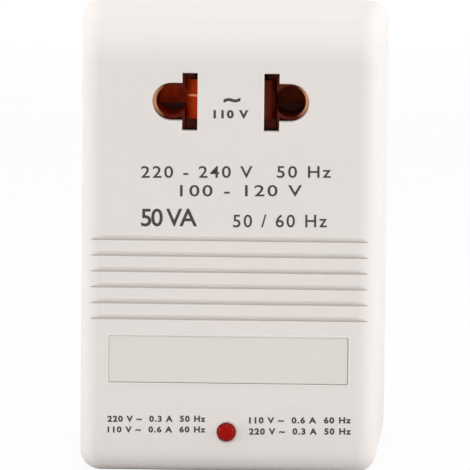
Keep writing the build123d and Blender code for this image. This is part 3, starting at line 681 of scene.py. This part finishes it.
def fit_lamp_hole(shell):
    """Closes the lamp's hole to a thin gap round the lens."""
    low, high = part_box("lamp_lens")
    middle_z = (low.z + high.z) / 2
    share = (lens_radius + lamp_hole_gap) / lamp_hole_radius
    for vertex in shell.verts:
        up = vertex.co.z - middle_z
        if math.hypot(vertex.co.x, up) < lamp_hole_radius + lamp_hole_slack and vertex.co.y < high.y:
            vertex.co.x = vertex.co.x * share + lamp_shift
            vertex.co.z = middle_z + up * share


def groove_rims(shell):
    """The edges where the grooves leave the upright faces round them."""
    low = lowest_groove_z - groove_width / 2
    high = lowest_groove_z + (groove_count - 1) * groove_pitch + groove_width / 2
    shell.normal_update()
    rims = set()
    for edge in shell.edges:
        if len(edge.link_faces) == 2 and all(low - tiny < v.co.z < high + tiny for v in edge.verts):
            flatter, steeper = sorted(abs(face.normal.z) for face in edge.link_faces)
            if flatter < upright and steeper > leaning:
                rims.add(edge)
    return rims


def finished_mesh(made, name, rims=()):
    """Turns a bmesh into a mesh, smooth but for its sharp edges and the rims named."""
    made.normal_update()
    for face in made.faces:
        face.smooth = True
    for edge in made.edges:
        faces = edge.link_faces
        edge.smooth = (
            edge not in rims
            and len(faces) == 2
            and faces[0].normal.angle(faces[1].normal, 0.0) < sharp_from
        )
    mesh = bpy.data.meshes.new(name)
    made.to_mesh(mesh)
    made.free()
    return mesh


def shell_piece(finish):
    """The front housing with its full top round, deeper grooves and a close lamp hole."""
    shell = bmesh.new()
    shell.from_mesh(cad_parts["front_housing"].data)
    bmesh.ops.remove_doubles(shell, verts=shell.verts, dist=merge_within)
    add_top_round(shell)
    shape_grooves(shell)
    fit_lamp_hole(shell)
    mesh = finished_mesh(shell, "front_shell", groove_rims(shell))
    piece = mesh_piece("front_shell", mesh, finish, "housing")
    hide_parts("front_housing")


# Contact lips
def strip(made, points, low, high):
    """Adds a bent strip of sheet that stands upright, from its line seen from above."""
    line = [Vector(point) for point in points]
    back = []
    for spot, point in enumerate(line):
        along = line[min(spot + 1, len(line) - 1)] - line[max(spot - 1, 0)]
        aside = Vector((-along.y, along.x)).normalized() * lip_thickness
        back.append(point + (aside if aside.y > 0 else -aside))
    outline = line + back[::-1]
    rings = [[made.verts.new((point.x, point.y, z)) for point in outline] for z in (low, high)]
    for ring in rings:
        made.faces.new(ring)
    for spot in range(len(outline)):
        after = (spot + 1) % len(outline)
        made.faces.new((rings[0][spot], rings[0][after], rings[1][after], rings[1][spot]))


def lip_pieces(finish):
    """A sprung lip behind each slot, split by a seam, with its foot and head plates set back."""
    wall_y = front_y + front_wall
    for name, side in (("left", -1), ("right", 1)):
        low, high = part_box("socket_contact_" + name)
        middle_z = (low.z + high.z) / 2
        made = bmesh.new()
        for line, foot, head in (
            (lip_line, lip_low, lip_seam_z - lip_seam / 2),
            (lip_line, lip_seam_z + lip_seam / 2, lip_high),
            (lip_foot_line, lip_foot_low, lip_foot_high),
            (lip_head_line, lip_head_low, lip_head_high),
        ):
            points = [(side * x * mm, wall_y + y * mm) for x, y in line]
            strip(made, points, middle_z + foot, middle_z + head)
        bmesh.ops.recalc_face_normals(made, faces=made.faces)
        mesh = finished_mesh(made, "contact_lips_" + name)
        mesh_piece("contact_lips_" + name, mesh, finish, "housing")


# Label
def rounded_outline(low_x, high_x, low_z, high_z, radius):
    """Points round a rectangle with round corners, seen from the front."""
    points = []
    for x, z, start in (
        (high_x - radius, high_z - radius, 0.0),
        (low_x + radius, high_z - radius, 0.5),
        (low_x + radius, low_z + radius, 1.0),
        (high_x - radius, low_z + radius, 1.5),
    ):
        for step in range(corner_steps + 1):
            angle = math.pi * (start + 0.5 * step / corner_steps)
            points.append((x + radius * math.cos(angle), z + radius * math.sin(angle)))
    return points


def ringed_mesh(name, sides, radius, rings, closed):
    """A solid from outlines that lie inside one another, each grown by some and at some y."""
    low_x, high_x, low_z, high_z = sides
    made = bmesh.new()
    loops = []
    for grow, y in rings:
        grown = (low_x - grow, high_x + grow, low_z - grow, high_z + grow)
        outline = rounded_outline(*grown, radius + grow)
        loops.append([made.verts.new((x, y, z)) for x, z in outline])
    pairs = list(zip(loops, loops[1:]))
    if closed:
        pairs.append((loops[-1], loops[0]))
    else:
        made.faces.new(loops[0])
        made.faces.new(loops[-1])
    for first, second in pairs:
        count = len(first)
        for spot in range(count):
            after = (spot + 1) % count
            made.faces.new((first[spot], first[after], second[after], second[spot]))
    bmesh.ops.recalc_face_normals(made, faces=made.faces)
    return finished_mesh(made, name)


def label_pieces(film, shell):
    """The label film, which nearly fills its recess, and the moulded bead round the recess."""
    low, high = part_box("label_plate")
    left, top = low.x - recess_gap_near, high.z + recess_gap_near
    right, bottom = high.x + recess_gap_far, low.z - recess_gap_far
    sides = (left + film_gap_near, right - film_gap_far, bottom + film_gap_far, top - film_gap_near)
    film_y = low.y - film_raise
    rings = [(0, high.y), (0, film_y + film_bevel), (-film_bevel, film_y)]
    mesh = ringed_mesh("label_film", sides, recess_corner, rings, False)
    piece = mesh_piece("label_film", mesh, film, "housing")
    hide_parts("label_plate")

    bead = [(rim_foot_share * rim_width, front_y)]
    for step in range(1, rim_steps):
        angle = math.pi * step / rim_steps
        across = (1 - math.cos(angle)) / 2
        bead.append((rim_width * across, front_y - rim_height * math.sin(angle)))
    bead.append(((1 - rim_foot_share) * rim_width, front_y))
    mesh = ringed_mesh("label_rim", (left, right, bottom, top), recess_corner, bead, True)
    mesh_piece("label_rim", mesh, shell, "housing")


# Printing
def letter_mesh(words, spacing, bold):
    """Flat letters as a mesh, one unit thick, with their spacing as a share of the usual one."""
    curve = bpy.data.curves.new("letters", "FONT")
    curve.body = words
    curve.offset = bold
    curve.space_character = spacing
    curve.resolution_u = letter_curve_steps
    curve.extrude = 0.5
    carrier = bpy.data.objects.new("letters", curve)
    bpy.context.scene.collection.objects.link(carrier)
    settled = carrier.evaluated_get(bpy.context.evaluated_depsgraph_get())
    mesh = bpy.data.meshes.new_from_object(settled)
    bpy.data.objects.remove(carrier)
    bpy.data.curves.remove(curve)
    return mesh


def extent(mesh, axis):
    """The lowest and highest place of a mesh along an axis."""
    places = [vertex.co[axis] for vertex in mesh.vertices]
    return min(places), max(places)


def lettering(words, shape, bold):
    """Letters whose spacing gives the line the wanted width for its height, and their mesh."""
    shapes = []
    for spacing in (1.0, 2.0):
        trial = letter_mesh(words, spacing, bold)
        across, upward = extent(trial, 0), extent(trial, 1)
        shapes.append((across[1] - across[0]) / (upward[1] - upward[0]))
        bpy.data.meshes.remove(trial)
    spacing = 1.0 + (shape - shapes[0]) / (shapes[1] - shapes[0]) if shapes[1] > shapes[0] else 1.0
    return letter_mesh(words, min(max(spacing, tightest_spacing), widest_spacing), bold)


def fitted(words, low_left, low_right, top_left, outward, bold):
    """Letters in the box with these three corners, standing ink_height proud of its plane."""
    shape = (low_right - low_left).length / (top_left - low_left).length
    mesh = lettering(words, shape, bold)
    (low_x, high_x), (low_y, high_y) = extent(mesh, 0), extent(mesh, 1)
    across = (low_right - low_left) / (high_x - low_x)
    upward = (top_left - low_left) / (high_y - low_y)
    for vertex in mesh.vertices:
        x, y, depth = vertex.co
        proud = outward * ink_height * (0.5 + depth)
        vertex.co = low_left + across * (x - low_x) + upward * (y - low_y) + proud
    mesh.update()
    return mesh


def joined(meshes, name):
    """Several meshes as one."""
    whole = bmesh.new()
    for mesh in meshes:
        whole.from_mesh(mesh)
        bpy.data.meshes.remove(mesh)
    made = bpy.data.meshes.new(name)
    whole.to_mesh(made)
    whole.free()
    return made


# Lines of print on the front: words, then left, top, right and bottom in the photograph's pixels,
# and how much the strokes are thickened
front_lines = [
    ("~", 223.5, 97.5, 240.5, 103.0, 0.045),
    ("110 V", 213.5, 110.0, 248.5, 118.5, 0.045),
    ("220 - 240 V   50 Hz", 141.0, 166.0, 331.0, 178.0, 0.012),
    ("100 - 120 V", 180.0, 185.0, 302.0, 196.5, 0.012),
    ("50 VA", 141.0, 208.5, 197.0, 226.5, 0.015),
    ("50 / 60 Hz", 233.0, 214.5, 327.0, 227.5, 0.01),
    ("220 V ~  0.3 A  50 Hz", 107.5, 415.6, 205.5, 422.0, 0.045),
    ("110 V ~  0.6 A  60 Hz", 107.5, 426.2, 205.5, 432.6, 0.045),
    ("110 V ~  0.6 A  60 Hz", 249.0, 417.0, 351.0, 423.6, 0.045),
    ("220 V ~  0.3 A  50 Hz", 249.0, 428.2, 351.0, 434.8, 0.045),
]


def print_front(ink):
    """All the lines of print on the front, as one piece."""
    outward = Vector((0, -1, 0))
    meshes = []
    for words, left, top, right, bottom, bold in front_lines:
        corners = on_front(left, bottom), on_front(right, bottom), on_front(left, top)
        meshes.append(fitted(words, *corners, outward, bold))
    mesh_piece("front_print", joined(meshes, "front_print"), ink, "housing")


def left_wall():
    """The left wall's outside in plan: a point of it, and its direction towards the back."""
    corners = (vertex.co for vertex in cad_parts["front_housing"].data.vertices)
    widest = min(corners, key=lambda corner: corner.x)
    return Vector((widest.x, widest.y, 0)), Vector((-math.sin(side_lean), math.cos(side_lean), 0))


def print_side(ink):
    """The two settings above and below the selector, on the left wall."""
    case_low, case_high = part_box("selector_case")
    middle_y = (case_low.y + case_high.y) / 2
    middle_z = (case_low.z + case_high.z) / 2
    back_point, direction = left_wall()
    outward = Vector((-direction.y, direction.x, 0))
    middle = back_point + direction * ((middle_y - back_point.y) / direction.y)
    meshes = []
    for words, z in (("220", middle_z + setting_away), ("110", middle_z - setting_away - setting_height)):
        low_left = middle + direction * (setting_width / 2) + Vector((0, 0, z))
        low_right = low_left - direction * setting_width
        top_left = low_left + Vector((0, 0, setting_height))
        meshes.append(fitted(words, low_left, low_right, top_left, outward, setting_bold))
    mesh_piece("selector_print", joined(meshes, "selector_print"), ink, "housing")


# Lamp lens
def lathe(profile, centre, sections):
    """A solid turned about an axis along Y, from points (radius, y) that start and end on the axis."""
    solid = bmesh.new()
    rings = []
    for radius, y in profile:
        if radius == 0:
            rings.append([solid.verts.new((centre[0], y, centre[1]))])
        else:
            ring = []
            for step in range(sections):
                angle = 2 * math.pi * step / sections
                place = (centre[0] + radius * math.cos(angle), y, centre[1] + radius * math.sin(angle))
                ring.append(solid.verts.new(place))
            rings.append(ring)
    for ring, following in zip(rings, rings[1:]):
        for step in range(sections):
            beside = (step + 1) % sections
            corners = [ring[step % len(ring)], ring[beside % len(ring)]]
            corners += [following[beside % len(following)], following[step % len(following)]]
            solid.faces.new(dict.fromkeys(corners))
    bmesh.ops.recalc_face_normals(solid, faces=solid.faces)
    for face in solid.faces:
        face.smooth = True
    mesh = bpy.data.meshes.new("lathed")
    solid.to_mesh(mesh)
    solid.free()
    return mesh


def lamp_piece(finish):
    """Low domed lamp body with the flange that rests on its collar."""
    low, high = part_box("lamp_lens")
    centre = ((low.x + high.x) / 2, (low.z + high.z) / 2)
    flange_radius = (high.x - low.x) / 2
    ball = (lens_radius**2 + lens_dome**2) / (2 * lens_dome)
    spread = math.asin(lens_radius / ball)
    profile = [(0, low.y)]
    for ring in range(1, lens_rings + 1):
        angle = spread * ring / lens_rings
        profile.append((ball * math.sin(angle), low.y + ball * (1 - math.cos(angle))))
    flange_y = high.y - lens_flange
    profile += [
        (lens_radius, flange_y),
        (flange_radius - lens_edge, flange_y),
        (flange_radius, flange_y + lens_edge),
        (flange_radius, high.y - lens_edge),
        (flange_radius - lens_edge, high.y),
        (0, high.y),
    ]
    mesh = lathe(profile, centre, lens_sections)
    for vertex in mesh.vertices:
        reach = math.hypot(vertex.co.x - centre[0], vertex.co.z - centre[1])
        if reach < lens_radius + tiny and vertex.co.y < flange_y + tiny:
            vertex.co.x += lamp_shift
    piece = mesh_piece("lamp_dome", mesh, finish, "housing")
    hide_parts("lamp_lens")


# Stage
def make_stage():
    """A white floor that keeps the part's shadow, and lights it as grey paper would, greyer beside the
    part's foot as painted shade.
    """
    made = new_finish("white_floor")
    seen = made.seen()
    x, y = made.axes("XY")
    high = Vector(cad_box[1]) / mm
    # painted shade: the light the floor bounces is greyer beside the part's foot
    beside = (abs(x) - high.x).math("MAXIMUM", abs(y) - high.y)
    away = (beside / (floor_shade_reach / mm)).clamped()
    paper = made.blend(away, (floor_shade_grey_near,) * 3, (floor_grey_far,) * 3)
    paper = made.blend(seen, paper, (floor_white,) * 3)
    plain = made.node("ShaderNodeBsdfDiffuse", None, {"Color": paper})
    glow = made.node("ShaderNodeEmission", None, {"Color": (1.0, 1.0, 1.0), "Strength": 1.0})
    shaders = {0: seen * floor_glow_share, 1: plain["BSDF"], 2: glow["Emission"]}
    mix = made.node("ShaderNodeMixShader", None, shaders)
    made.node("ShaderNodeOutputMaterial", None, {"Surface": mix["Shader"]})

    half = floor_size / 2
    mesh = bpy.data.meshes.new("floor")
    corners = ((-half, -half), (half, -half), (half, half), (-half, half))
    mesh.from_pydata([(x, y, -floor_drop) for x, y in corners], [], [(0, 1, 2, 3)])
    mesh.materials.append(made.owner)
    floor = bpy.data.objects.new("floor", mesh)
    bpy.context.scene.collection.objects.link(floor)


def make_sky():
    """A sky that looks white and lights the part evenly, at a lower level."""
    sky = bpy.data.worlds.new("sky")
    bpy.context.scene.world = sky
    made = Finish(sky)
    strength = sky_level + made.seen() * (1 - sky_level)
    glow = made.node("ShaderNodeBackground", None, {"Color": (1.0, 1.0, 1.0), "Strength": strength})
    made.node("ShaderNodeOutputWorld", None, {"Surface": glow["Background"]})


def softbox(name, place, size, power):
    """A square white lamp that faces the middle of the part."""
    data = bpy.data.lights.new(name, "AREA")
    data.shape = "SQUARE"
    data.size = size
    data.energy = power
    lamp = bpy.data.objects.new(name, data)
    lamp.location = place
    lamp.rotation_mode = "QUATERNION"
    lamp.rotation_quaternion = (Vector(lamp_target) - Vector(place)).to_track_quat("-Z", "Y")
    bpy.context.scene.collection.objects.link(lamp)


def dress_nodes(finishes):
    """Gives every carried-over node its finish."""
    for name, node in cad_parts.items():
        node.data.materials.clear()
        node.data.materials.append(finishes[name])


def main():
    """Dresses the part, and sets up the camera, the floor and the light."""
    shell = moulded("white_shell", tone(234, 228, 224), 0.35 * mm, 0.006 * mm, 0.6, 0.25)
    dark = moulded("black_nylon", tone(38, 37, 38), 0.3 * mm, 0.006 * mm, 0.4)
    ivory = moulded("ivory_nylon", tone(214, 205, 184), 0.4 * mm, 0.005 * mm, 0.36)
    grey = moulded("grey_plug_plastic", tone(222, 216, 212), 0.3 * mm, 0.005 * mm, 0.4)
    phenolic = moulded("brown_phenolic", tone(158, 58, 38), 0.5 * mm, 0.004 * mm, 0.3)
    red_lead = moulded("lead_pvc", tone(150, 28, 26), 0.5 * mm, 0.004 * mm, 0.34)
    blue_lead = moulded("plug_lead_pvc", tone(40, 62, 120), 0.5 * mm, 0.004 * mm, 0.34)
    copper = rolled_metal("contact_copper", tone(150, 66, 32), tone(96, 34, 14), "Y", 0.3, 0.5)
    nickel = rolled_metal("nickel_plate", tone(206, 202, 194), tone(168, 160, 146), "Z", 0.2, 0.35)
    zinc = rolled_metal("zinc_plate", tone(190, 190, 186), tone(140, 136, 128), "X", 0.3, 0.4)
    tin = rolled_metal("tinned_wire", tone(196, 194, 190), tone(150, 148, 142), "Z", 0.28, 0.4)
    aged = aged_copper()
    wire = wound_wire()
    plates = laminations()
    finishes = {
        "front_housing": shell,
        "rear_cover": shell,
        "label_plate": satin_film(),
        "lamp_lens": lens_red(),
        "lamp_leads": tin,
        "lamp_board": circuit_board(),
        "lamp_resistor": banded_resistor(),
        "socket_contact_left": aged,
        "socket_contact_right": aged,
        "contact_holder": phenolic,
        "holder_screws": zinc,
        "keeper_screws": zinc,
        "shell_screws": zinc,
        "core_e_stack": plates,
        "core_i_stack": plates,
        "bobbin": ivory,
        "inner_winding": wire,
        "outer_winding": wire,
        "winding_tape": polyester_tape(),
        "terminal_pins": tin,
        "thermal_fuse": fuse_case(),
        "plug_blade_left": nickel,
        "plug_blade_right": nickel,
        "plug_drum": grey,
        "plug_keeper": ivory,
        "plug_spring_left": copper,
        "plug_spring_right": copper,
        "selector_case": dark,
        "selector_floor": dark,
        "selector_terminals": tin,
        "selector_knob": dark,
        "selector_bridge": copper,
        "socket_leads": red_lead,
        "plug_lead": blue_lead,
    }
    dress_nodes(finishes)
    ink = printing_ink()
    print_front(ink)
    print_side(ink)
    shell_piece(shell)
    label_pieces(finishes["label_plate"], shell)
    lamp_piece(finishes["lamp_lens"])
    lip_pieces(aged)
    make_camera()
    make_sky()
    make_stage()
    for lamp in lamps:
        softbox(*lamp)
    bpy.context.scene.view_settings.view_transform = "Standard"


main()
